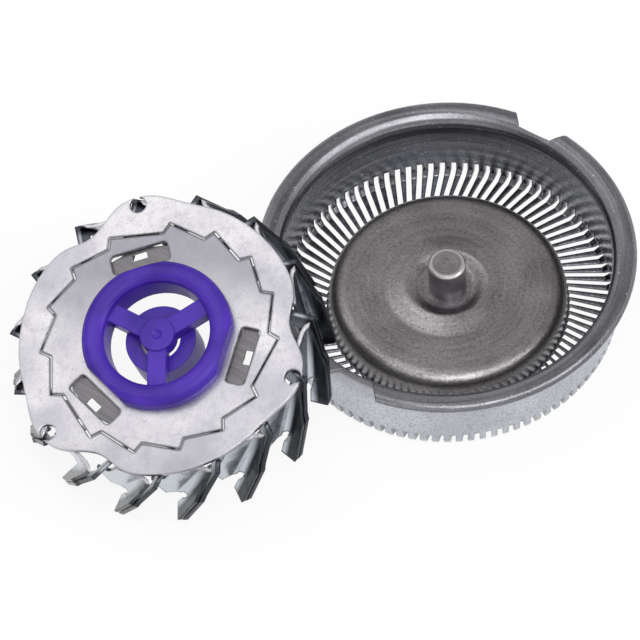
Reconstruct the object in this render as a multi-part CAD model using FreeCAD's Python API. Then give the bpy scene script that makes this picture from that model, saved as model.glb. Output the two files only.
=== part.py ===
import FreeCAD, Part
import math
import os

# Rotary shaver head, taken apart as it is sold for spares.
# A slotted steel comb cap lies with its skin face down, and the cutter lies
# beside it, drive side up, with one of its legs propped on the rim of the cap.
# Millimetres. The origin is on the axis of the cap, on the plane of its skin face.
# Z points up out of the open side of the cap, and X to the right of the user.

V = FreeCAD.Vector
Z_AXIS = V(0, 0, 1)

# Comb cap: a drawn steel cup whose rim is rolled outwards
WALL_DIAMETER = 20.3
RIM_DIAMETER = 22.5
CAP_HEIGHT = 5.35
CAP_SHEET = 0.35
RIM_INNER_ROLL = 0.85
RIM_OUTER_ROLL = 0.35
RIM_ROLL_FACETS = 4
TRACK_SHEET = 0.12
TRACK_OUTER_CORNER = 0.50
TRACK_INNER_CORNER = 0.30
TRACK_CORNER_FACETS = 2

# Shaving track: slanted slots that wrap the corner and climb the wall
SLOT_COUNT = 90
SLOT_WIDTH = 0.32
SLOT_SLANT = 17.0
SLOT_INNER_RADIUS = 7.24
SLOT_HEIGHT = 1.00

# Plateau inside the track, with a well rounded edge and a shallow crater round the pin
PLATEAU_RADIUS = 7.10
PLATEAU_HEIGHT = 2.00
PLATEAU_SHEET = 0.30
PLATEAU_SIDE_RUN = 0.04
PLATEAU_EDGE_RADIUS = 0.95
PLATEAU_EDGE_FACETS = 5
CRATER_FOOT_RADIUS = 3.70
CRATER_LIP_RADIUS = 2.40
CRATER_LIP_RISE = 0.32
CRATER_FLOOR_RADIUS = 1.65
CRATER_FLOOR_DROP = 0.05

# Two notches across the rolled rim, which key the cap in its holder
NOTCH_DIRECTION = 58.5
NOTCH_COUNT = 2
NOTCH_OUTER_WIDTH = 3.85
NOTCH_INNER_WIDTH = 2.10
NOTCH_LAND = 0.05

# Pin riveted through the middle of the crater
PIN_DIAMETER = 2.24
PIN_TOP = 4.29
PIN_CHAMFER = 0.12
RIVET_SHANK_RADIUS = 0.70
RIVET_HEAD_RADIUS = 1.30
RIVET_HEAD_THICKNESS = 0.30

# Cover pressed into the recess on the skin side
COVER_THICKNESS = 0.25
COVER_DEPTH = 0.35
COVER_SKIRT_RADIUS = 6.00
COVER_SKIRT_THICKNESS = 0.25
COVER_CLEARANCE = 0.08

# Cutter: fifteen legs, measured in its own frame with the blade tips at zero.
# Its X axis points straight uphill when the cutter lies on the rim of the cap.
LEG_COUNT = 15
LEG_PHASE = -2.0
LEG_RAKE = 32.0
BLADE_OUTER_RADIUS = 9.45
BLADE_INNER_RADIUS = 8.30
BLADE_SHEET = 0.25
TIP_CORNER_RADIUS = 0.12
TIP_CORNER_FACETS = 2
SHOULDER_RADIUS = 9.30
SHOULDER_HEIGHT = 2.60
CHEEK_RADIUS = 9.08
CHEEK_HEIGHT = 2.98
WAIST_RADIUS = 8.47
WAIST_FOOT = 0.85
WAIST_START = 1.00
BLADE_WAIST_TOP = 1.90
BLADE_NECK_RADIUS = 8.45
BLADE_TOP = 4.96
BLADE_ARM_BOTTOM = 4.30
BLADE_ARM_ROOT = 8.00
BLADE_ARM_START = 5.95
BLADE_ARM_JOGGLE = 0.10

# Plates of the cutter, which lie flush with each other on the drive side
PLATE_TOP = 5.45
PLATE_SHEET = 0.30
DISC_TIP_RADIUS = 7.06
DISC_NOTCH_RADIUS = 6.47
DISC_STEP_ANGLE = 3.1
DISC_TOOTH_ANGLES = (12.0, 35.0, 57.0, 79.5, 102.0)
PLATE_GAP = 0.10
WINDOW_COUNT = 3
WINDOW_DIRECTION = 47.2
WINDOW_RADIUS = 5.20
WINDOW_LENGTH = 3.50
WINDOW_WIDTH = 1.20
WINDOW_CORNER_RADIUS = 0.25

# Lifter ring: its outline swells and narrows three times, with a notch beside each window
LIFTER_SHEET = 0.18
LIFTER_TIP_GAP = 0.08
SHEET_GAP = 0.10
RING_OUTLINE = ((57.0, 8.44), (43.0, 8.44), (31.0, 8.24), (20.0, 7.76), (11.0, 8.18),
                (4.0, 8.76), (-11.5, 8.92), (-21.0, 8.55), (-37.0, 8.44))
RING_NOTCH_ANGLE = -4.0
RING_NOTCH_RADIUS = 0.50
RING_NOTCH_CENTRE = 8.53

# Each lifter: a flag that hangs from the ring, a bend, and a limb beside its blade
FLAG_RADIUS = 8.10
FLAG_BOTTOM = 1.60
FLAG_END_LOW = -0.42
FLAG_END_HIGH = -0.735
FLAG_END_HEIGHT = 3.60
FLAG_STEP_HEIGHT = 3.95
FLAG_STEP_LOW = 0.05
FLAG_STEP_HIGH = 0.80
LIMB_TOP_RADIUS = 8.35
LIMB_NOSE_TOP = 1.45
LEG_BEND_RADIUS = 0.75
LEG_BEND_FACETS = 3
KEYHOLE_RADIUS = 0.22
KEYHOLE_FACETS = 4

# Spring plate under the disc, with three fingers that reach under the ring
SPRING_SHEET = 0.15
SPRING_RADIUS = 5.85
SPRING_FINGER_WIDTH = 1.10
SPRING_FINGER_OFFSET = 4.45
SPRING_FINGER_START = 3.30
SPRING_FINGER_END = 6.45
SPRING_FINGER_DROP = 0.05
SPRING_HOLE_LENGTH = 0.90
SPRING_HOLE_WIDTH = 0.45
SPRING_HOLE_RADIUS = 5.45
SPRING_HOLE_ANGLE = 0.5

# Drive hub: a moulded rim, three spokes and a tube that turns on the pin
HUB_RIM_RADIUS = 4.50
HUB_RIM_HEIGHT = 1.05
HUB_RIM_ROUND = 0.45
HUB_ROUND_FACETS = 3
HUB_FLAT_DISTANCE = 4.22
HUB_MOUTH_RADIUS = 3.62
HUB_OPENING_RADIUS = 3.10
HUB_NECK_RADIUS = 3.60
HUB_NECK_CLEARANCE = 0.05
HUB_STAKE_RADIUS = 4.10
HUB_STAKE_THICKNESS = 0.40
SPOKE_COUNT = 3
SPOKE_DIRECTION = -26.5
SPOKE_WIDTH = 1.10
SPOKE_ROOT = 0.30
SPOKE_TOP = 5.95
SPOKE_BOTTOM = 5.05
HUB_BOSS_RADIUS = 1.03
HUB_BOSS_TOP = 6.05
HUB_DIMPLE_RADIUS = 0.32
HUB_DIMPLE_DEPTH = 0.12
BORE_CLEARANCE = 0.06
TUBE_WALL = 0.92
TUBE_BOTTOM = 2.50

# How the cutter lies: where its axis meets the plane of its tips, seen from the
# axis of the cap, and the direction in which it climbs to the rim
CUTTER_DISTANCE = 17.00
CUTTER_BEARING = 201.70
LEAN_DIRECTION = 54.0
LEAN_CLEARANCE = 0.07

# Values that follow from the ones above
WALL_OUTER = WALL_DIAMETER / 2
WALL_INNER = WALL_OUTER - CAP_SHEET
RIM_RADIUS = RIM_DIAMETER / 2
CREST_RADIUS = RIM_RADIUS - RIM_OUTER_ROLL
ROLL_BOTTOM = CAP_HEIGHT - RIM_INNER_ROLL
PLATEAU_FOOT = PLATEAU_RADIUS + PLATEAU_SIDE_RUN
CRATER_FLOOR = PLATEAU_HEIGHT - CRATER_FLOOR_DROP
PIN_RADIUS = PIN_DIAMETER / 2
PLATE_BOTTOM = PLATE_TOP - PLATE_SHEET
SPRING_BOTTOM = PLATE_BOTTOM - SPRING_SHEET
LEG_PITCH = 360.0 / LEG_COUNT
RAKE_SLOPE = math.tan(math.radians(LEG_RAKE))
RAKE_STRETCH = 1 / math.cos(math.radians(LEG_RAKE))
LIFTER_HALF = LIFTER_SHEET * RAKE_STRETCH / 2
BLADE_FACE = LIFTER_HALF + SHEET_GAP * RAKE_STRETCH
BLADE_BACK = BLADE_FACE + BLADE_SHEET * RAKE_STRETCH
BEND_END = FLAG_RADIUS + LEG_BEND_RADIUS
BORE_RADIUS = PIN_RADIUS + BORE_CLEARANCE
TUBE_RADIUS = BORE_RADIUS + TUBE_WALL


def polar(radius, degrees, height=0.0):
    angle = math.radians(degrees)
    return V(radius * math.cos(angle), radius * math.sin(angle), height)


def spin(shape, degrees):
    copy = shape.copy()
    copy.rotate(V(0, 0, 0), Z_AXIS, degrees)
    return copy


def section(points):
    """A flat face in the XZ plane."""
    corners = [V(x, 0, z) for x, z in points]
    return Part.Face(Part.makePolygon(corners + corners[:1]))


def turned(points):
    return section(points).revolve(V(0, 0, 0), Z_AXIS, 360)


def facets_of_corner(centre_x, centre_z, radius, start, end, facets):
    """Points along a rounded corner that is made of a few flats, because it repeats."""
    points = []
    for index in range(facets + 1):
        angle = math.radians(start + (end - start) * index / facets)
        points.append((centre_x + radius * math.cos(angle), centre_z + radius * math.sin(angle)))
    return points


def prism(points, bottom, top):
    """A solid with a plan outline of straight sides."""
    wire = Part.makePolygon([V(x, y, bottom) for x, y in points + [points[0]]])
    return Part.Face(wire).extrude(V(0, 0, top - bottom))


def side_sheet(points, low_y, high_y):
    """A flat sheet that stands on edge: an XZ outline given thickness along Y."""
    face = section(points)
    face.translate(V(0, low_y, 0))
    return face.extrude(V(0, high_y - low_y, 0))


def raked_sheet(points, low_y, high_y):
    """The same sheet, raked: its top leans towards +Y and its lower edge stays level."""
    face = section([(x, z * RAKE_STRETCH) for x, z in points])
    face.rotate(V(0, 0, 0), V(1, 0, 0), -LEG_RAKE)
    face.translate(V(0, low_y, 0))
    return face.extrude(V(0, high_y - low_y, 0))


def rounded_block(length, width, radius, bottom, top):
    """A block about the origin, its long side along Y, with rounded upright corners."""
    block = Part.makeBox(width, length, top - bottom, V(-width / 2, -length / 2, bottom))
    upright = [e for e in block.Edges if abs(e.tangentAt(e.FirstParameter).z) > 0.9]
    return block.makeFillet(radius, upright)


def comb_cap():
    roll_x = WALL_INNER + RIM_INNER_ROLL
    crest_z = CAP_HEIGHT - RIM_OUTER_ROLL
    edge_x = PLATEAU_RADIUS - PLATEAU_EDGE_RADIUS
    edge_z = PLATEAU_HEIGHT - PLATEAU_EDGE_RADIUS
    below = -PLATEAU_SHEET
    outline = [
        (RIVET_SHANK_RADIUS, CRATER_FLOOR + below),
        (CRATER_FLOOR_RADIUS, CRATER_FLOOR + below),
        (CRATER_LIP_RADIUS, PLATEAU_HEIGHT + CRATER_LIP_RISE + below),
        (CRATER_FOOT_RADIUS, PLATEAU_HEIGHT + below),
    ]
    outline += facets_of_corner(edge_x, edge_z, PLATEAU_EDGE_RADIUS + below, 90, 0, PLATEAU_EDGE_FACETS)
    outline.append((PLATEAU_FOOT + below, 0))
    outline += facets_of_corner(WALL_OUTER - TRACK_OUTER_CORNER, TRACK_OUTER_CORNER,
                                TRACK_OUTER_CORNER, -90, 0, TRACK_CORNER_FACETS)
    outline += facets_of_corner(roll_x, ROLL_BOTTOM, RIM_INNER_ROLL - CAP_SHEET, 180, 90, RIM_ROLL_FACETS)
    outline += facets_of_corner(CREST_RADIUS, crest_z, RIM_OUTER_ROLL, 0, 90, RIM_ROLL_FACETS)
    outline += facets_of_corner(roll_x, ROLL_BOTTOM, RIM_INNER_ROLL, 90, 180, RIM_ROLL_FACETS)
    outline += facets_of_corner(WALL_INNER - TRACK_INNER_CORNER, TRACK_SHEET + TRACK_INNER_CORNER,
                                TRACK_INNER_CORNER, 0, -90, 1)
    outline.append((PLATEAU_FOOT, TRACK_SHEET))
    outline += facets_of_corner(edge_x, edge_z, PLATEAU_EDGE_RADIUS, 0, 90, PLATEAU_EDGE_FACETS)
    outline += [
        (CRATER_FOOT_RADIUS, PLATEAU_HEIGHT),
        (CRATER_LIP_RADIUS, PLATEAU_HEIGHT + CRATER_LIP_RISE),
        (CRATER_FLOOR_RADIUS, CRATER_FLOOR),
        (RIVET_SHANK_RADIUS, CRATER_FLOOR),
    ]
    cap = turned(outline)
    return cap.cut(track_slots()).cut(rim_notches())


def track_slots():
    overrun = 0.30
    reach = (WALL_OUTER - SLOT_INNER_RADIUS) / math.cos(math.radians(SLOT_SLANT)) + overrun
    slots = []
    for index in range(SLOT_COUNT):
        direction = index * 360.0 / SLOT_COUNT
        slot = Part.makeBox(reach, SLOT_WIDTH, SLOT_HEIGHT + overrun,
                            V(0, -SLOT_WIDTH / 2, -overrun))
        slot.rotate(V(0, 0, 0), Z_AXIS, direction - SLOT_SLANT)
        slot.translate(polar(SLOT_INNER_RADIUS, direction))
        slots.append(slot)
    return Part.makeCompound(slots)


def rim_notches():
    overrun = 0.50
    land = WALL_OUTER + NOTCH_LAND
    half_in = NOTCH_INNER_WIDTH / 2
    half_out = NOTCH_OUTER_WIDTH / 2
    slope = (half_out - half_in) / (RIM_RADIUS - land)
    half_far = half_out + slope * overrun
    outline = [(land, -half_in), (RIM_RADIUS + overrun, -half_far),
               (RIM_RADIUS + overrun, half_far), (land, half_in)]
    notches = []
    for index in range(NOTCH_COUNT):
        notch = prism(outline, ROLL_BOTTOM - overrun, CAP_HEIGHT + overrun)
        notches.append(spin(notch, NOTCH_DIRECTION + index * 360.0 / NOTCH_COUNT))
    return Part.makeCompound(notches)


def centre_pin():
    under = CRATER_FLOOR - PLATEAU_SHEET
    return turned([
        (0, under - RIVET_HEAD_THICKNESS),
        (RIVET_HEAD_RADIUS - PIN_CHAMFER, under - RIVET_HEAD_THICKNESS),
        (RIVET_HEAD_RADIUS, under - RIVET_HEAD_THICKNESS + PIN_CHAMFER),
        (RIVET_HEAD_RADIUS, under),
        (RIVET_SHANK_RADIUS, under),
        (RIVET_SHANK_RADIUS, CRATER_FLOOR),
        (PIN_RADIUS, CRATER_FLOOR),
        (PIN_RADIUS, PIN_TOP - PIN_CHAMFER),
        (PIN_RADIUS - PIN_CHAMFER, PIN_TOP),
        (0, PIN_TOP),
    ])


def centre_cover():
    roof = PLATEAU_HEIGHT - PLATEAU_SHEET
    cover_top = COVER_DEPTH + COVER_THICKNESS
    edge = PLATEAU_RADIUS - PLATEAU_SHEET - COVER_CLEARANCE
    return turned([
        (0, COVER_DEPTH),
        (edge - COVER_THICKNESS / 2, COVER_DEPTH),
        (edge, COVER_DEPTH + COVER_THICKNESS / 2),
        (edge, cover_top),
        (COVER_SKIRT_RADIUS, cover_top),
        (COVER_SKIRT_RADIUS, roof),
        (COVER_SKIRT_RADIUS - COVER_SKIRT_THICKNESS, roof),
        (COVER_SKIRT_RADIUS - COVER_SKIRT_THICKNESS, cover_top),
        (0, cover_top),
    ])


def tooth_directions():
    """The sawtooth tips, clockwise round the disc."""
    angles = []
    for window in range(WINDOW_COUNT):
        start = WINDOW_DIRECTION + window * 360.0 / WINDOW_COUNT
        angles += [start + tooth for tooth in DISC_TOOTH_ANGLES]
    return sorted(angles, reverse=True)


def sawtooth_outline(extra):
    """The edge of the disc, or the edge of the ring when extra is the gap between them."""
    points = []
    for tip in tooth_directions():
        points.append(polar(DISC_NOTCH_RADIUS, tip + DISC_STEP_ANGLE))
        points.append(polar(DISC_TIP_RADIUS, tip))
    wire = Part.makePolygon(points + [points[0]])
    if extra:
        wire = wire.makeOffset2D(extra, join=2)
    return wire


def plate(wire):
    flat = Part.Face(wire)
    flat.translate(V(0, 0, PLATE_BOTTOM))
    return flat.extrude(V(0, 0, PLATE_SHEET))


def windows(bottom, top):
    blocks = []
    for index in range(WINDOW_COUNT):
        block = rounded_block(WINDOW_LENGTH, WINDOW_WIDTH, WINDOW_CORNER_RADIUS, bottom, top)
        block.translate(V(WINDOW_RADIUS, 0, 0))
        blocks.append(spin(block, WINDOW_DIRECTION + index * 360.0 / WINDOW_COUNT))
    return Part.makeCompound(blocks)


def leg_directions():
    return [LEG_PHASE + index * LEG_PITCH for index in range(LEG_COUNT)]


def leg_foot(bottom):
    """The edge of a leg from its inner corner, round its tip and up to its cheek."""
    tip = facets_of_corner(BLADE_OUTER_RADIUS - TIP_CORNER_RADIUS, bottom + TIP_CORNER_RADIUS,
                           TIP_CORNER_RADIUS, -90, 0, TIP_CORNER_FACETS)
    return [(BLADE_INNER_RADIUS, bottom)] + tip + [
        (SHOULDER_RADIUS, SHOULDER_HEIGHT),
        (CHEEK_RADIUS, CHEEK_HEIGHT),
    ]


def blade():
    """One blade: a raked sheet with an arm that passes under the ring to the disc."""
    front = PLATE_BOTTOM * RAKE_SLOPE + BLADE_FACE
    back = PLATE_BOTTOM * RAKE_SLOPE + BLADE_BACK
    arm_start = math.sqrt(BLADE_ARM_START ** 2 - front ** 2)
    arm_clear = math.sqrt((DISC_NOTCH_RADIUS - PLATE_GAP) ** 2 - back ** 2)
    return raked_sheet(leg_foot(0) + [
        (BLADE_NECK_RADIUS, BLADE_TOP),
        (arm_clear + BLADE_ARM_JOGGLE, BLADE_TOP),
        (arm_clear, PLATE_BOTTOM),
        (arm_start, PLATE_BOTTOM),
        (arm_start, BLADE_ARM_BOTTOM),
        (BLADE_ARM_ROOT, BLADE_ARM_BOTTOM),
        (WAIST_RADIUS, BLADE_WAIST_TOP),
        (WAIST_RADIUS, WAIST_START),
        (BLADE_INNER_RADIUS, WAIST_FOOT),
    ], BLADE_FACE, BLADE_BACK)


def blade_disc():
    disc = plate(sawtooth_outline(0))
    opening = Part.makeCylinder(HUB_NECK_RADIUS + HUB_NECK_CLEARANCE, 2, V(0, 0, PLATE_BOTTOM - 1))
    disc = disc.cut(opening).cut(windows(PLATE_BOTTOM - 1, PLATE_TOP + 1))
    one = blade()
    return disc.fuse([spin(one, angle) for angle in leg_directions()])


def ring_outline():
    points = []
    for window in range(WINDOW_COUNT):
        middle = WINDOW_DIRECTION - window * 360.0 / WINDOW_COUNT
        points += [polar(radius, middle + offset) for offset, radius in RING_OUTLINE]
    curve = Part.BSplineCurve()
    curve.interpolate(points, PeriodicFlag=True)
    return Part.Wire(curve.toShape())


def lifter_plan():
    """Seen from above at the height of the tips: the flag along the rim, then the bend."""
    far_y = FLAG_END_HIGH - PLATE_BOTTOM * RAKE_SLOPE
    outline = [(FLAG_RADIUS - LIFTER_HALF, far_y)]
    outline += facets_of_corner(BEND_END, -LEG_BEND_RADIUS, LEG_BEND_RADIUS + LIFTER_HALF,
                                180, 90, LEG_BEND_FACETS)
    outline += facets_of_corner(BEND_END, -LEG_BEND_RADIUS, LEG_BEND_RADIUS - LIFTER_HALF,
                                90, 180, LEG_BEND_FACETS)
    outline.append((FLAG_RADIUS + LIFTER_HALF, far_y))
    return Part.Face(Part.makePolygon([V(x, y, 0) for x, y in outline + outline[:1]]))


def raked_prism(face, bottom, top):
    """Raises a plan face from one height to another along the rake of the legs."""
    raised = face.copy()
    raised.translate(V(0, RAKE_SLOPE * bottom, bottom))
    return raised.extrude(V(0, RAKE_SLOPE * (top - bottom), top - bottom))


def lifter():
    """One lifter: the flag and its bend, then the limb that reaches the track."""
    strip = raked_prism(lifter_plan(), FLAG_BOTTOM, PLATE_BOTTOM)
    slope = (CHEEK_RADIUS - LIMB_TOP_RADIUS) / (PLATE_BOTTOM - CHEEK_HEIGHT)
    edge_height = PLATE_BOTTOM - (BEND_END - LIMB_TOP_RADIUS) / slope
    under_edge = side_sheet([
        (FLAG_RADIUS - LEG_BEND_RADIUS, FLAG_BOTTOM),
        (CHEEK_RADIUS, FLAG_BOTTOM),
        (CHEEK_RADIUS, CHEEK_HEIGHT),
        (LIMB_TOP_RADIUS, PLATE_BOTTOM),
        (FLAG_RADIUS - LEG_BEND_RADIUS, PLATE_BOTTOM),
    ], 2 * FLAG_END_HIGH, PLATE_BOTTOM)
    strip = strip.common(under_edge).cut(keyhole()).cut(free_end())
    limb = raked_sheet(leg_foot(LIFTER_TIP_GAP) + [
        (BEND_END, edge_height),
        (BEND_END, LIMB_NOSE_TOP + KEYHOLE_RADIUS / 2),
        (WAIST_RADIUS, LIMB_NOSE_TOP),
        (WAIST_RADIUS, WAIST_START),
        (BLADE_INNER_RADIUS, WAIST_FOOT),
    ], -LIFTER_HALF, LIFTER_HALF)
    return strip.fuse(limb)


def keyhole():
    """A slot across the bend, rounded at its top and open at the lower edge."""
    in_bend = LEG_BEND_RADIUS * (1 - math.sqrt(0.5))
    middle = V(FLAG_RADIUS + in_bend, -in_bend, 0)
    across = polar(1, 45)
    through = polar(LEG_BEND_RADIUS, 135)
    outline = facets_of_corner(0, FLAG_BOTTOM, KEYHOLE_RADIUS, 180, 0, KEYHOLE_FACETS)
    outline += [(KEYHOLE_RADIUS, FLAG_BOTTOM - 1), (-KEYHOLE_RADIUS, FLAG_BOTTOM - 1)]
    corners = []
    for side, height in outline:
        corners.append(middle - through + across * side + V(0, RAKE_SLOPE * height, height))
    return Part.Face(Part.makePolygon(corners + corners[:1])).extrude(through * 2)


def free_end():
    """Trims the free end of the flag, which steps back above to pass the next blade's arm."""
    far = 2 * FLAG_END_HIGH - PLATE_BOTTOM * RAKE_SLOPE
    outline = [(far, PLATE_BOTTOM), (FLAG_STEP_HIGH, PLATE_BOTTOM), (FLAG_STEP_LOW, FLAG_STEP_HEIGHT),
               (FLAG_END_HIGH, FLAG_STEP_HEIGHT), (FLAG_END_HIGH, FLAG_END_HEIGHT),
               (FLAG_END_LOW, FLAG_BOTTOM), (far, FLAG_BOTTOM)]
    corners = [V(FLAG_RADIUS - LEG_BEND_RADIUS, y, z) for y, z in outline]
    face = Part.Face(Part.makePolygon(corners + corners[:1]))
    return face.extrude(V(2 * LEG_BEND_RADIUS, 0, 0))


def lifter_ring():
    ring = plate(ring_outline()).cut(plate(sawtooth_outline(PLATE_GAP)))
    for window in range(WINDOW_COUNT):
        direction = WINDOW_DIRECTION + RING_NOTCH_ANGLE + window * 360.0 / WINDOW_COUNT
        notch = Part.makeCylinder(RING_NOTCH_RADIUS, 2, V(RING_NOTCH_CENTRE, 0, PLATE_BOTTOM - 1))
        ring = ring.cut(spin(notch, direction))
    one = lifter()
    return ring.fuse([spin(one, angle) for angle in leg_directions()])


def spring_plate():
    disc = Part.makeCylinder(SPRING_RADIUS, SPRING_SHEET, V(0, 0, SPRING_BOTTOM))
    fingers = []
    holes = []
    for window in range(WINDOW_COUNT):
        turn = window * 360.0 / WINDOW_COUNT
        finger = Part.makeBox(SPRING_FINGER_END - SPRING_FINGER_START, SPRING_FINGER_WIDTH, SPRING_SHEET,
                              V(SPRING_FINGER_START, SPRING_FINGER_OFFSET - SPRING_FINGER_WIDTH / 2,
                                SPRING_BOTTOM - SPRING_FINGER_DROP))
        fingers.append(spin(finger, LEG_PHASE + turn))
        hole = Part.makeBox(SPRING_HOLE_WIDTH, SPRING_HOLE_LENGTH, 2,
                            V(SPRING_HOLE_RADIUS - SPRING_HOLE_WIDTH / 2, -SPRING_HOLE_LENGTH / 2,
                              SPRING_BOTTOM - 1))
        holes.append(spin(hole, WINDOW_DIRECTION + SPRING_HOLE_ANGLE + turn))
    opening = Part.makeCylinder(HUB_NECK_RADIUS + HUB_NECK_CLEARANCE, 2, V(0, 0, SPRING_BOTTOM - 1))
    return disc.fuse(fingers).cut(opening).cut(Part.makeCompound(holes))


def drive_hub():
    rim_top = PLATE_TOP + HUB_RIM_HEIGHT
    stake_top = SPRING_BOTTOM - SPRING_FINGER_DROP
    stake_bottom = stake_top - HUB_STAKE_THICKNESS
    outline = [
        (HUB_OPENING_RADIUS, stake_bottom),
        (HUB_STAKE_RADIUS, stake_bottom),
        (HUB_STAKE_RADIUS, stake_top),
        (HUB_NECK_RADIUS, stake_top),
        (HUB_NECK_RADIUS, PLATE_TOP),
        (HUB_RIM_RADIUS, PLATE_TOP),
    ]
    outline += facets_of_corner(HUB_RIM_RADIUS - HUB_RIM_ROUND, rim_top - HUB_RIM_ROUND,
                                HUB_RIM_ROUND, 0, 90, HUB_ROUND_FACETS)
    outline += facets_of_corner(HUB_MOUTH_RADIUS, rim_top - HUB_RIM_ROUND,
                                HUB_RIM_ROUND, 90, 180, HUB_ROUND_FACETS)
    rim = turned(outline)
    flats = []
    spokes = []
    for index in range(SPOKE_COUNT):
        flat = Part.makeBox(2, 2 * HUB_RIM_RADIUS, 3, V(HUB_FLAT_DISTANCE, -HUB_RIM_RADIUS, PLATE_TOP))
        flats.append(spin(flat, WINDOW_DIRECTION + index * 360.0 / SPOKE_COUNT))
        spoke = Part.makeBox(HUB_OPENING_RADIUS + SPOKE_ROOT, SPOKE_WIDTH, SPOKE_TOP - SPOKE_BOTTOM,
                             V(0, -SPOKE_WIDTH / 2, SPOKE_BOTTOM))
        spokes.append(spin(spoke, SPOKE_DIRECTION + index * 360.0 / SPOKE_COUNT))
    boss = Part.makeCylinder(HUB_BOSS_RADIUS, HUB_BOSS_TOP - SPOKE_BOTTOM, V(0, 0, SPOKE_BOTTOM))
    tube = Part.makeCylinder(TUBE_RADIUS, SPOKE_BOTTOM - TUBE_BOTTOM, V(0, 0, TUBE_BOTTOM))
    bore = Part.makeCylinder(BORE_RADIUS, SPOKE_BOTTOM - TUBE_BOTTOM, V(0, 0, TUBE_BOTTOM))
    dimple = Part.makeCone(HUB_DIMPLE_RADIUS / 2, HUB_DIMPLE_RADIUS, HUB_DIMPLE_DEPTH,
                           V(0, 0, HUB_BOSS_TOP - HUB_DIMPLE_DEPTH))
    hub = rim.cut(Part.makeCompound(flats)).fuse(spokes + [boss, tube.cut(bore)])
    return hub.cut(dimple)


def downhill_reach():
    """How far the lowest blade corners lie from the cutter's axis, measured straight downhill."""
    reach = []
    for direction in leg_directions():
        turn = math.radians(direction)
        for across in (BLADE_FACE, BLADE_BACK):
            along = BLADE_OUTER_RADIUS - TIP_CORNER_RADIUS
            reach.append(across * math.sin(turn) - along * math.cos(turn))
    return max(reach)


def lean():
    """How the cutter lies: two blade tips on the table and the uphill blade on the rim's roll."""
    bearing = math.radians(CUTTER_BEARING - LEAN_DIRECTION)
    ahead = CUTTER_DISTANCE * math.cos(bearing)
    beside = CUTTER_DISTANCE * math.sin(bearing)
    past_axis = math.sqrt(CREST_RADIUS ** 2 - beside ** 2)
    to_rim = -ahead - past_axis
    reach = downhill_reach()
    tilt = 0.0
    for _ in range(20):
        edge_slope = math.tan(tilt) * CREST_RADIUS / past_axis
        crest = CAP_HEIGHT - RIM_OUTER_ROLL + RIM_OUTER_ROLL * math.hypot(1, edge_slope) + LEAN_CLEARANCE
        tip_rise = TIP_CORNER_RADIUS * (1 - math.cos(tilt))
        tilt = math.asin((crest - tip_rise) / (reach + to_rim / math.cos(tilt)))
    height = reach * math.sin(tilt) + TIP_CORNER_RADIUS * (1 - math.cos(tilt))
    return tilt, height


def lay_down(shape):
    """Moves a piece of the cutter from the cutter's own frame to where it lies."""
    tilt, height = lean()
    laid = shape.copy()
    laid.rotate(V(0, 0, 0), V(0, 1, 0), -math.degrees(tilt))
    laid.rotate(V(0, 0, 0), Z_AXIS, LEAN_DIRECTION)
    laid.translate(polar(CUTTER_DISTANCE, CUTTER_BEARING, height))
    return laid


def main():
    os.makedirs("parts", exist_ok=True)
    nodes = {
        "comb_cap": comb_cap(),
        "centre_pin": centre_pin(),
        "centre_cover": centre_cover(),
        "blade_disc": lay_down(blade_disc()),
        "lifter_ring": lay_down(lifter_ring()),
        "spring_plate": lay_down(spring_plate()),
        "drive_hub": lay_down(drive_hub()),
    }
    for name, shape in nodes.items():
        if len(shape.Solids) != 1 or not shape.isValid():
            print("check", name, len(shape.Solids), shape.isValid())
        shape.exportStep("parts/" + name + ".step")
    tilt, height = lean()
    print("tilt", round(math.degrees(tilt), 4), "height", round(height, 4))


main()
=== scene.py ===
import math

import bpy
from mathutils import Matrix, Vector

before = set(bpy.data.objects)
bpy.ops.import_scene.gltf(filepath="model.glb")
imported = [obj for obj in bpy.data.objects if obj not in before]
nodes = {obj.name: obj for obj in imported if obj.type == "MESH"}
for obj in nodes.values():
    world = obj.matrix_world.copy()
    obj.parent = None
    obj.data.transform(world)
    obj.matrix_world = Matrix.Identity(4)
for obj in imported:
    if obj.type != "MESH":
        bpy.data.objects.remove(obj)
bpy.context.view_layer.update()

# Rotary shaver head: a slotted steel comb cap and, leaning on its rim, its bladed cutter.
# Radii, heights and the sizes of patterns are in millimetres, and the scene's own lengths in metres.
# Every noise works on a place in millimetres, so its scale is how many marks a millimetre holds.
# The picture has 17 pixels in a millimetre, so the finest marks are drawn 0.11 to 0.2 mm wide.

MM = 0.001

# How the cutter lies, as in the part's source: its tilt, the way it climbs, and where its axis meets
# the plane of its tips
CUTTER_TILT = math.radians(17.7476)
CUTTER_DIRECTION = math.radians(54.0)
CUTTER_BEARING = math.radians(201.70)
CUTTER_DISTANCE = 17.00
CUTTER_LIFT = 2.8035

# The way across the cutter's plates along which they are painted darker as shade, in the cutter's own
# frame
SHADED_SIDE = (0.809, 0.588, 0.0)

CAP_WALL_RADIUS = 10.15
PLATEAU_RADIUS = 7.10
PIN_RADIUS = 1.12
PIN_TOP = 4.29
JOINT_RADIUS = 7.20

# Bands over which one look gives way to the next. On the cap: from the wall's inside, painted dark as
# shade, to its outside, up the outer wall to its top painted darker as the shade under the rim, from the
# wall to the rolled rim painted dark as shade, and from the track to the plateau.
WALL_BAND = (CAP_WALL_RADIUS - 0.20, CAP_WALL_RADIUS - 0.12)
UNDER_RIM_SHADE_BAND = (3.0, 4.5)
RIM_BAND = (4.45, 4.65)
PLATEAU_BAND = (PLATEAU_RADIUS + 0.10, PLATEAU_RADIUS - 0.05)

# On the pin: up its side, painted darker as shade towards its foot, from the middle of its end to its edge
# painted bright as a highlight, and from its end to its side
PIN_SIDE_SHADE_BAND = (PIN_TOP - 1.3, PIN_TOP - 0.2)
PIN_EDGE_HIGHLIGHT_BAND = (PIN_RADIUS - 0.30, PIN_RADIUS - 0.20)
PIN_CORNER_BAND = (PIN_TOP - 0.16, PIN_TOP - 0.24)
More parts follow.
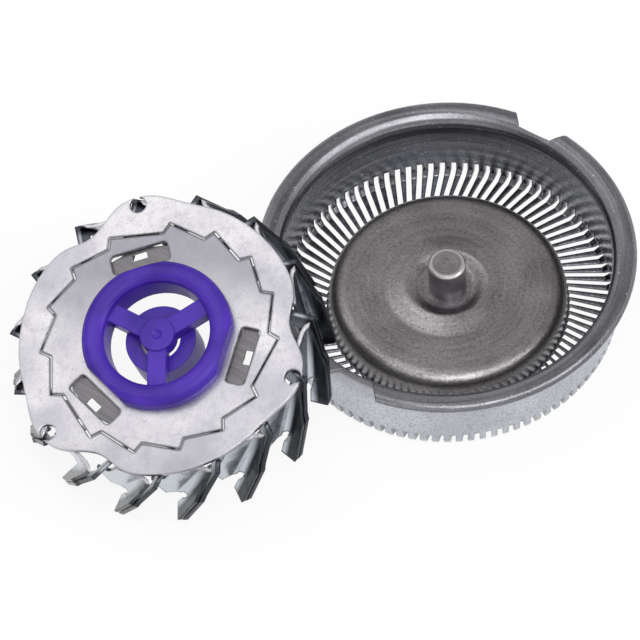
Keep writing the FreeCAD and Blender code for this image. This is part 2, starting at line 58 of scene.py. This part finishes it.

# On the cutter: from the flat top down to what is bent from it, from the bent flags out to the legs,
# which are painted dark as shade, and from the edges at the toothed joint, painted dark as the shade
# in the gap, out to those of the ring, painted pale as a highlight
BENT_BAND = (5.14, 5.00)
LEG_BAND = (8.45, 8.80)
JOINT_BAND = (JOINT_RADIUS, JOINT_RADIUS + 0.15)

# Levels of a noise between which one look turns into another: gently, or in blotches
SOFT = (0.3, 0.7)
MOTTLED = (0.35, 0.65)

# The studio. The backdrop is white up to one elevation and grey above another, both as sines, and the
# soft light grows from just under the horizon to overhead.
BACKDROP_TOP = math.sin(math.radians(22))
CEILING = math.sin(math.radians(48))
CEILING_GREY = 0.45
SOFT_LIGHT_FROM = -0.1
SOFT_LIGHT_LOW = 0.25
SOFT_LIGHT_HIGH = 0.50

# The floor, in metres: it lies a hair under the cap, so that the two faces don't share a plane.
# Plain white makes up most of its look, and card that takes the shadow makes up the rest.
FLOOR_HALF = 0.6
FLOOR_DROP = 0.00002
FLOOR_WHITE_SHARE = 0.90

# The camera, fitted to the ellipse of the cap's rim. Its focal length is in pixels of the frame.
FRAME_PIXELS = 640
FOCAL_PIXELS = 7624.4
SENSOR_WIDTH = 36.0
CAMERA_DISTANCE = 0.450
CAMERA_TARGET = (-0.00754, -0.00333, 0.00339)
CAMERA_AZIMUTH = math.radians(2.52)
CAMERA_ELEVATION = math.radians(54.642)
CAMERA_ROLL = math.radians(-3.140)


def linear(hex_colour):
    """An sRGB hex colour as the linear values that a shader takes."""
    values = []
    for start in (0, 2, 4):
        value = int(hex_colour[start:start + 2], 16) / 255
        values.append(value / 12.92 if value <= 0.04045 else ((value + 0.055) / 1.055) ** 2.4)
    return (*values, 1.0)


def add(tree, kind, sockets, result=None, **settings):
    """Adds a node with its settings. Each socket, by its identifier, takes a link from an output, a
    hex colour or a plain value. Gives back the output named by result, or else the first."""
    node = tree.nodes.new(kind)
    for name, value in settings.items():
        setattr(node, name, value)
    inputs = {socket.identifier: socket for socket in node.inputs}
    for name, value in sockets.items():
        if isinstance(value, bpy.types.NodeSocket):
            tree.links.new(value, inputs[name])
        elif isinstance(value, str):
            inputs[name].default_value = linear(value)
        else:
            inputs[name].default_value = value
    outputs = {socket.identifier: socket for socket in node.outputs}
    if result:
        return outputs[result]
    return next(iter(outputs.values()), None)


def blank(name):
    """A material with an empty node tree."""
    material = bpy.data.materials.new(name)
    material.use_nodes = True
    material.node_tree.nodes.clear()
    return material, material.node_tree


def cap_place(tree):
    """Where a point is on the cap, in millimetres."""
    place = add(tree, "ShaderNodeTexCoord", {}, "Object")
    return add(tree, "ShaderNodeVectorMath", {"Vector": place, "Scale": 1 / MM}, operation="SCALE")


def cutter_place(tree):
    """Where a point is in the cutter's own frame, in millimetres: Z is its axis, with its tips at zero."""
    middle = (
        CUTTER_DISTANCE * math.cos(CUTTER_BEARING),
        CUTTER_DISTANCE * math.sin(CUTTER_BEARING),
        CUTTER_LIFT,
    )
    moved = add(tree, "ShaderNodeVectorMath", {"Vector": cap_place(tree), "Vector_001": middle},
                operation="SUBTRACT")
    turned = add(tree, "ShaderNodeMapping", {"Vector": moved, "Rotation": (0, 0, -CUTTER_DIRECTION)})
    return add(tree, "ShaderNodeMapping", {"Vector": turned, "Rotation": (0, CUTTER_TILT, 0)})


def round_axis(tree, place):
    """Distance from the axis, the direction from it, and the height, of a place in millimetres."""
    parts = add(tree, "ShaderNodeSeparateXYZ", {"Vector": place}).node.outputs
    flat = add(tree, "ShaderNodeCombineXYZ", {"X": parts["X"], "Y": parts["Y"]})
    distance = add(tree, "ShaderNodeVectorMath", {"Vector": flat}, "Value", operation="LENGTH")
    direction = add(tree, "ShaderNodeVectorMath", {"Vector": flat}, operation="NORMALIZE")
    return distance, direction, parts["Z"]


def ringed(tree, distance, direction, height, sway):
    """A place in which noise makes rings round the axis that change a little on the way round."""
    ring = add(tree, "ShaderNodeCombineXYZ", {"X": distance, "Z": height})
    swayed = add(tree, "ShaderNodeVectorMath", {"Vector": direction, "Scale": sway}, operation="SCALE")
    return add(tree, "ShaderNodeVectorMath", {"Vector": ring, "Vector_001": swayed}, operation="ADD")


def overlay(tree, under, over, pattern, band=None, most=1.0):
    """Lays one colour over another, by a pattern itself or, where a band is given, as the pattern runs
    through it, up to the largest share given."""
    share = pattern
    if band:
        share = add(tree, "ShaderNodeMapRange",
                    {"Value": pattern, "From Min": band[0], "From Max": band[1], "To Max": most})
    return add(tree, "ShaderNodeMix", {"Factor_Float": share, "A_Color": under, "B_Color": over},
               "Result_Color", data_type="RGBA")


def near_edge(tree, reach_mm):
    """One at a sheet's edges, falling to zero within a reach in millimetres."""
    shade = add(tree, "ShaderNodeAmbientOcclusion", {"Distance": reach_mm * MM}, "AO", samples=6,
                inside=True, only_local=True)
    return add(tree, "ShaderNodeMapRange", {"Value": shade, "From Min": 0.95, "From Max": 0.55})


def surface(tree, edge_radius, reliefs, samples=4):
    """The surface's normal: each edge rounded, as drawing, stamping and tumbling leave it, to a radius
    in metres, and then each relief with its depth in millimetres."""
    normal = add(tree, "ShaderNodeBevel", {"Radius": edge_radius}, samples=samples)
    for height, depth in reliefs:
        normal = add(tree, "ShaderNodeBump",
                     {"Strength": 1.0, "Distance": depth * MM, "Height": height, "Normal": normal})
    return normal


def finish_with(tree, sockets):
    """The shader and the output."""
    shader = add(tree, "ShaderNodeBsdfPrincipled", sockets)
    add(tree, "ShaderNodeOutputMaterial", {"Surface": shader})


def drawn_cap_steel():
    """Stainless steel sheet, deep drawn and then tumbled: a pale satin wall outside, painted darker as
    shade under the rim, a glossier one inside that mirrors the slots and is painted dark as shade, a
    rolled rim painted dark as shade, and a warm grey plateau with faint rings and pits."""
    material, tree = blank("drawn_stainless_cap")
    place = cap_place(tree)
    distance, direction, height = round_axis(tree, place)
    # The punch leaves rings a third of a millimetre apart, and the sheet waves over 1.25 mm
    rings = add(tree, "ShaderNodeTexNoise", {
        "Vector": ringed(tree, distance, direction, height, sway=0.3),
        "Scale": 3.0, "Detail": 4.0, "Roughness": 0.7,
    })
    waves = add(tree, "ShaderNodeTexNoise", {
        "Vector": ringed(tree, distance, direction, height, sway=0.25),
        "Scale": 0.8, "Detail": 1.0, "Roughness": 0.5,
    })
    # Tumbling leaves marks of a few hundredths of a millimetre, drawn 0.14 mm wide so that they show
    grain = add(tree, "ShaderNodeTexNoise",
                {"Vector": place, "Scale": 7.0, "Detail": 4.0, "Roughness": 0.65})
    # Stains about 3 mm across, and bright specks and dark pits of 0.2 mm
    cloud = add(tree, "ShaderNodeTexNoise",
                {"Vector": place, "Scale": 0.35, "Detail": 3.0, "Roughness": 0.5})
    specks = add(tree, "ShaderNodeTexNoise",
                 {"Vector": place, "Scale": 4.5, "Detail": 1.0, "Roughness": 0.5})
    pits = add(tree, "ShaderNodeTexNoise",
               {"Vector": place, "Scale": 5.0, "Detail": 4.0, "Roughness": 0.75})
    outside = add(tree, "ShaderNodeMapRange",
                  {"Value": distance, "From Min": WALL_BAND[0], "From Max": WALL_BAND[1]})
    on_plateau = add(tree, "ShaderNodeMapRange",
                     {"Value": distance, "From Min": PLATEAU_BAND[0], "From Max": PLATEAU_BAND[1]})
    # Painted shade: the inside of the wall is darker than the outside
    shaded_in_wall = overlay(tree, "61646B", "505359", cloud, MOTTLED)
    out_wall = overlay(tree, "C9CCD3", "B9BCC4", cloud, MOTTLED)
    # Painted shade: the outer wall darkens towards the rim above it
    out_wall = overlay(tree, out_wall, "8A8C94", height, UNDER_RIM_SHADE_BAND, most=0.60)
    # Painted shade: the rolled rim is darker than the walls
    shaded_rim = overlay(tree, "7B7A80", "65656B", cloud, MOTTLED)
    walls = overlay(tree, shaded_in_wall, out_wall, outside)
    walls = overlay(tree, walls, shaded_rim, height, RIM_BAND)
    plateau = overlay(tree, "9A9596", "837E7F", cloud, band=(0.40, 0.65))
    colour = overlay(tree, walls, plateau, on_plateau)
    colour = overlay(tree, colour, "C9C7C9", rings, band=(0.40, 0.70), most=0.34)
    colour = overlay(tree, colour, "4C4A50", grain, band=(0.45, 0.68), most=0.42)
    colour = overlay(tree, colour, "C9C7C9", specks, band=(0.70, 0.78), most=0.6)
    deep = add(tree, "ShaderNodeMapRange",
               {"Value": pits, "From Min": 0.50, "From Max": 0.66, "To Max": 0.45})
    pitted = add(tree, "ShaderNodeMath", {"Value": deep, "Value_001": on_plateau}, operation="MULTIPLY")
    colour = overlay(tree, colour, "3E3B3E", pitted)
    # The plateau is rounded more widely than the sheet's edges
    edge_mm = add(tree, "ShaderNodeMapRange", {"Value": on_plateau, "To Min": 0.14, "To Max": 0.40})
    edge = add(tree, "ShaderNodeMath", {"Value": edge_mm, "Value_001": MM}, operation="MULTIPLY")
    relief = add(tree, "ShaderNodeMath", {"Value": grain, "Value_001": 2.2, "Value_002": rings},
                 operation="MULTIPLY_ADD")
    # The plateau and the outside are rubbed, so they are less glossy than the inside
    rubbed = add(tree, "ShaderNodeMath", {"Value": on_plateau, "Value_001": outside}, operation="MAXIMUM")
    satin = add(tree, "ShaderNodeMath", {"Value": rubbed, "Value_001": 0.16, "Value_002": 0.14},
                operation="MULTIPLY_ADD")
    roughness = add(tree, "ShaderNodeMath", {"Value": grain, "Value_001": 0.10, "Value_002": satin},
                    operation="MULTIPLY_ADD")
    finish_with(tree, {
        "Metallic": 1.0,
        "Base Color": colour,
        "Roughness": roughness,
        "Normal": surface(tree, edge, [(waves, 0.03), (relief, 0.0050)], samples=8),
    })
    return material


def turned_pin_steel():
    """Free-cutting steel, turned: rings round the end, a painted highlight on its edge, and a side painted
    darker as shade, darkest towards its foot.
    """
    material, tree = blank("turned_pin_steel")
    place = cap_place(tree)
    distance, direction, height = round_axis(tree, place)
    # The tool's rings are some hundredths of a millimetre apart, drawn 0.17 mm apart so that they show
    turning = add(tree, "ShaderNodeTexNoise", {
        "Vector": ringed(tree, distance, direction, height, sway=0.15),
        "Scale": 6.0, "Detail": 3.0, "Roughness": 0.6,
    })
    grain = add(tree, "ShaderNodeTexNoise",
                {"Vector": place, "Scale": 8.0, "Detail": 3.0, "Roughness": 0.55})
    end = overlay(tree, "7B7778", "A19C9E", turning, SOFT)
    # Painted shade: the side is darker than the end, and darkest towards its foot
    shaded_side = overlay(tree, "78767C", "98959A", height, PIN_SIDE_SHADE_BAND)
    # Painted highlight: a bright ring at the edge of the end
    colour = overlay(tree, end, "C6C2C3", distance, PIN_EDGE_HIGHLIGHT_BAND)
    colour = overlay(tree, colour, shaded_side, height, PIN_CORNER_BAND)
    roughness = add(tree, "ShaderNodeMapRange", {
        "Value": grain, "From Min": SOFT[0], "From Max": SOFT[1], "To Min": 0.28, "To Max": 0.42,
    })
    relief = add(tree, "ShaderNodeMath", {"Value": grain, "Value_001": 0.5, "Value_002": turning},
                 operation="MULTIPLY_ADD")
    finish_with(tree, {
        "Metallic": 1.0,
        "Base Color": colour,
        "Roughness": roughness,
        "Normal": surface(tree, 0.06 * MM, [(relief, 0.010)]),
    })
    return material


def brushed_cover_steel():
    """Stainless sheet, brushed one way: fine straight scratches."""
    material, tree = blank("brushed_cover_steel")
    # Brushing scratches are some hundredths of a millimetre wide, drawn 0.17 mm wide and 7 mm long
    brushed = add(tree, "ShaderNodeMapping", {"Vector": cap_place(tree), "Scale": (0.15, 6.0, 6.0)})
    scratches = add(tree, "ShaderNodeTexNoise",
                    {"Vector": brushed, "Scale": 1.0, "Detail": 5.0, "Roughness": 0.7})
    roughness = add(tree, "ShaderNodeMapRange", {
        "Value": scratches, "From Min": SOFT[0], "From Max": SOFT[1], "To Min": 0.22, "To Max": 0.36,
    })
    finish_with(tree, {
        "Metallic": 1.0,
        "Base Color": overlay(tree, "A6A6AA", "CDCDD1", scratches, SOFT),
        "Roughness": roughness,
        "Normal": surface(tree, 0.08 * MM, [(scratches, 0.004)]),
    })
    return material


def stamped_steel(name, pale, dull, flag, shaded_limb, shade_band):
    """Hardened strip, stamped and tumbled: pale and satin on its flat top, with fine pits, scuffs and
    smudges, and painted darker as shade over a band across the plates. The bent flags take their own
    tone, painted darker as shade on the blade, which lies behind the lifter, and the ground legs are
    glossy and painted dark as shade. Edges as far out as the toothed joint and on the legs are painted
    dark as shade, and those further out on top are rubbed pale and painted pale as a highlight."""
    material, tree = blank(name)
    place = cutter_place(tree)
    distance, direction, height = round_axis(tree, place)
    # Scuffs of nearly half a millimetre, smudges and dents of 1.3 mm, and stains of 3.3 mm
    scuffs = add(tree, "ShaderNodeTexNoise",
                 {"Vector": place, "Scale": 2.2, "Detail": 4.0, "Roughness": 0.7})
    smudges = add(tree, "ShaderNodeTexNoise",
                  {"Vector": place, "Scale": 0.8, "Detail": 3.0, "Roughness": 0.6})
    dents = add(tree, "ShaderNodeTexNoise",
                {"Vector": place, "Scale": 0.75, "Detail": 1.0, "Roughness": 0.5})
    cloud = add(tree, "ShaderNodeTexNoise",
                {"Vector": place, "Scale": 0.30, "Detail": 2.0, "Roughness": 0.5})
    # Tumbling leaves marks of a few hundredths of a millimetre, drawn 0.11 mm wide so that they show
    grain = add(tree, "ShaderNodeTexNoise",
                {"Vector": place, "Scale": 9.0, "Detail": 4.0, "Roughness": 0.6})
    across = add(tree, "ShaderNodeVectorMath", {"Vector": place, "Vector_001": SHADED_SIDE}, "Value",
                 operation="DOT_PRODUCT")
    bent = add(tree, "ShaderNodeMapRange",
               {"Value": height, "From Min": BENT_BAND[0], "From Max": BENT_BAND[1]})
    flat = overlay(tree, pale, dull, cloud, MOTTLED)
    # Painted shade: the plates darken along a band across them
    flat = overlay(tree, flat, "85858D", across, shade_band, most=0.85)
    flat = overlay(tree, flat, "7E7C84", smudges, band=(0.55, 0.75), most=0.28)
    flat = overlay(tree, flat, "A19EA5", scuffs, band=(0.50, 0.70), most=0.55)
    flat = overlay(tree, flat, "8A888F", grain, band=(0.48, 0.72), most=0.40)
    # The legs are painted dark as shade, and on the blade the flags are painted darker as shade too
    leg = overlay(tree, flag, shaded_limb, distance, LEG_BAND)
    colour = overlay(tree, flat, leg, bent)
    # Painted shade on the edges at the toothed joint and on the legs, and a painted highlight on the edges
    # further out, which are also rubbed pale
    edges = near_edge(tree, reach_mm=0.13)
    edge_shade_and_highlight = overlay(tree, "47454B", "C4C2C8", distance, JOINT_BAND)
    edge_shade_and_highlight = overlay(tree, edge_shade_and_highlight, "3C3E42", bent)
    colour = overlay(tree, colour, edge_shade_and_highlight, edges, band=(0.0, 1.0), most=0.75)
    roughness = add(tree, "ShaderNodeMapRange", {"Value": bent, "To Min": 0.36, "To Max": 0.22})
    finish_with(tree, {
        "Metallic": 1.0,
        "Base Color": colour,
        "Roughness": roughness,
        "Normal": surface(tree, 0.16 * MM, [(dents, 0.050), (grain, 0.007)]),
    })
    return material


def rolled_spring_steel():
    """Thin spring strip as rolled: grey, with straight rolling lines."""
    material, tree = blank("rolled_spring_steel")
    # Rolling lines are some hundredths of a millimetre wide, drawn 0.2 mm wide and 2.5 mm long
    rolled = add(tree, "ShaderNodeMapping", {"Vector": cutter_place(tree), "Scale": (5.0, 0.4, 5.0)})
    lines = add(tree, "ShaderNodeTexNoise",
                {"Vector": rolled, "Scale": 1.0, "Detail": 4.0, "Roughness": 0.6})
    roughness = add(tree, "ShaderNodeMapRange", {
        "Value": lines, "From Min": SOFT[0], "From Max": SOFT[1], "To Min": 0.30, "To Max": 0.42,
    })
    finish_with(tree, {
        "Metallic": 1.0,
        "Base Color": overlay(tree, "5D5B5D", "7C7A7C", lines, SOFT),
        "Roughness": roughness,
        "Normal": surface(tree, 0.04 * MM, [(lines, 0.004)]),
    })
    return material


def moulded_acetal():
    """Acetal, injection moulded in a violet: a soft sheen, faint flow clouds and a fine mould grain."""
    material, tree = blank("moulded_violet_acetal")
    place = cutter_place(tree)
    # Flow clouds about 3 mm across, and a mould grain of some hundredths of a millimetre, drawn 0.12 mm
    flow = add(tree, "ShaderNodeTexNoise",
               {"Vector": place, "Scale": 0.35, "Detail": 2.0, "Roughness": 0.5})
    grain = add(tree, "ShaderNodeTexNoise",
                {"Vector": place, "Scale": 8.0, "Detail": 3.0, "Roughness": 0.6})
    roughness = add(tree, "ShaderNodeMapRange", {
        "Value": grain, "From Min": SOFT[0], "From Max": SOFT[1], "To Min": 0.30, "To Max": 0.42,
    })
    finish_with(tree, {
        "Metallic": 0.0,
        "IOR": 1.48,
        "Specular IOR Level": 0.32,
        "Subsurface Weight": 0.04,
        "Subsurface Scale": 0.0004,
        "Base Color": overlay(tree, "36198F", "4E2CB2", flow, MOTTLED),
        "Roughness": roughness,
        "Normal": surface(tree, 0.12 * MM, [(grain, 0.004)]),
    })
    return material


def shown_rays(tree):
    """One where the eye, polished metal or a clear thing looks, and zero for soft light."""
    ray = add(tree, "ShaderNodeLightPath", {}).node.outputs
    mirrored = add(tree, "ShaderNodeMath",
                   {"Value": ray["Is Camera Ray"], "Value_001": ray["Is Glossy Ray"]}, operation="MAXIMUM")
    return add(tree, "ShaderNodeMath", {"Value": mirrored, "Value_001": ray["Is Transmission Ray"]},
               operation="MAXIMUM")


def white_card():
    """Matt white card: it shows nearly pure white to the eye and in the steel, and keeps a soft shadow."""
    material, tree = blank("matt_white_card")
    share = add(tree, "ShaderNodeMath", {"Value": shown_rays(tree), "Value_001": FLOOR_WHITE_SHARE},
                operation="MULTIPLY")
    card = add(tree, "ShaderNodeBsdfDiffuse", {"Color": "FAFAFA"})
    white = add(tree, "ShaderNodeEmission", {"Color": "FFFFFF", "Strength": 1.0})
    shader = add(tree, "ShaderNodeMixShader", {"Fac": share, "Shader": card, "Shader_001": white})
    add(tree, "ShaderNodeOutputMaterial", {"Surface": shader})
    return material


def dress(name, material):
    """Gives a CAD piece its material."""
    piece = nodes[name]
    piece.data.materials.clear()
    piece.data.materials.append(material)


def make_floor():
    """A wide sheet of white card under the object."""
    half = FLOOR_HALF
    corners = [(-half, -half, 0), (half, -half, 0), (half, half, 0), (-half, half, 0)]
    mesh = bpy.data.meshes.new("paper_floor")
    mesh.from_pydata(corners, [], [(0, 1, 2, 3)])
    floor = bpy.data.objects.new("paper_floor", mesh)
    floor.location.z = -FLOOR_DROP
    mesh.materials.append(white_card())
    bpy.context.scene.collection.objects.link(floor)


def make_world():
    """A studio round the object: soft dim light, and a backdrop that is white up to BACKDROP_TOP
    and greys towards the ceiling, to the eye and in the steel alike."""
    world = bpy.data.worlds.new("studio")
    world.use_nodes = True
    tree = world.node_tree
    tree.nodes.clear()
    way = add(tree, "ShaderNodeTexCoord", {}, "Generated")
    up = add(tree, "ShaderNodeSeparateXYZ", {"Vector": way}, "Z")
    soft = add(tree, "ShaderNodeMapRange", {
        "Value": up, "From Min": SOFT_LIGHT_FROM, "From Max": 1.0,
        "To Min": SOFT_LIGHT_LOW, "To Max": SOFT_LIGHT_HIGH,
    })
    backdrop = add(tree, "ShaderNodeMapRange", {
        "Value": up, "From Min": BACKDROP_TOP, "From Max": CEILING, "To Min": 1.0, "To Max": CEILING_GREY,
    })
    shown = add(tree, "ShaderNodeMath", {"Value": backdrop, "Value_001": shown_rays(tree)},
                operation="MULTIPLY")
    strength = add(tree, "ShaderNodeMath", {"Value": soft, "Value_001": shown}, operation="MAXIMUM")
    background = add(tree, "ShaderNodeBackground", {"Color": "FFFFFF", "Strength": strength})
    add(tree, "ShaderNodeOutputWorld", {"Surface": background})
    bpy.context.scene.world = world


def make_lamp(name, azimuth, elevation, distance, size, watts):
    """A square soft box that faces the object, at a compass direction seen from above."""
    lamp = bpy.data.lights.new(name, "AREA")
    lamp.shape = "SQUARE"
    lamp.size = size
    lamp.energy = watts
    holder = bpy.data.objects.new(name, lamp)
    around = math.radians(azimuth)
    rise = math.radians(elevation)
    away = Vector((
        math.cos(around) * math.cos(rise),
        math.sin(around) * math.cos(rise),
        math.sin(rise),
    ))
    holder.location = away * distance
    holder.rotation_mode = "QUATERNION"
    holder.rotation_quaternion = away.to_track_quat("Z", "Y")
    bpy.context.scene.collection.objects.link(holder)


def make_camera():
    """The photograph's viewpoint."""
    back = Vector((
        math.sin(CAMERA_AZIMUTH) * math.cos(CAMERA_ELEVATION),
        -math.cos(CAMERA_AZIMUTH) * math.cos(CAMERA_ELEVATION),
        math.sin(CAMERA_ELEVATION),
    ))
    level = Vector((math.cos(CAMERA_AZIMUTH), math.sin(CAMERA_AZIMUTH), 0))
    rise = back.cross(level)
    right = level * math.cos(CAMERA_ROLL) + rise * math.sin(CAMERA_ROLL)
    up = rise * math.cos(CAMERA_ROLL) - level * math.sin(CAMERA_ROLL)
    lens = bpy.data.cameras.new("camera")
    lens.sensor_width = SENSOR_WIDTH
    lens.lens = SENSOR_WIDTH * FOCAL_PIXELS / FRAME_PIXELS
    lens.clip_start = 0.01
    lens.clip_end = 10.0
    camera = bpy.data.objects.new("camera", lens)
    stand = Matrix.Translation(Vector(CAMERA_TARGET) + back * CAMERA_DISTANCE)
    camera.matrix_world = stand @ Matrix((right, up, back)).transposed().to_4x4()
    bpy.context.scene.collection.objects.link(camera)
    bpy.context.scene.camera = camera


# The blade lies behind the lifter, so its flags and legs are painted darker as shade
blade_steel = stamped_steel("ground_blade_steel", pale="CFCDD0", dull="B4B2B8", flag="8E9298",
                            shaded_limb="3E4146", shade_band=(0.0, 4.5))
lifter_steel = stamped_steel("stamped_lifter_steel", pale="CFCDD0", dull="B1AFB6", flag="C0C6CE",
                             shaded_limb="3A3D42", shade_band=(-3.0, -14.0))

dress("comb_cap", drawn_cap_steel())
dress("centre_pin", turned_pin_steel())
dress("centre_cover", brushed_cover_steel())
dress("blade_disc", blade_steel)
dress("lifter_ring", lifter_steel)
dress("spring_plate", rolled_spring_steel())
dress("drive_hub", moulded_acetal())

make_floor()
make_world()
make_lamp("back_left_box", azimuth=160, elevation=68, distance=0.40, size=0.28, watts=0.32)
make_lamp("front_box", azimuth=-75, elevation=62, distance=0.45, size=0.18, watts=0.70)
make_lamp("right_box", azimuth=-22, elevation=42, distance=0.40, size=0.14, watts=0.40)
make_camera()
bpy.context.scene.view_settings.view_transform = "Standard"
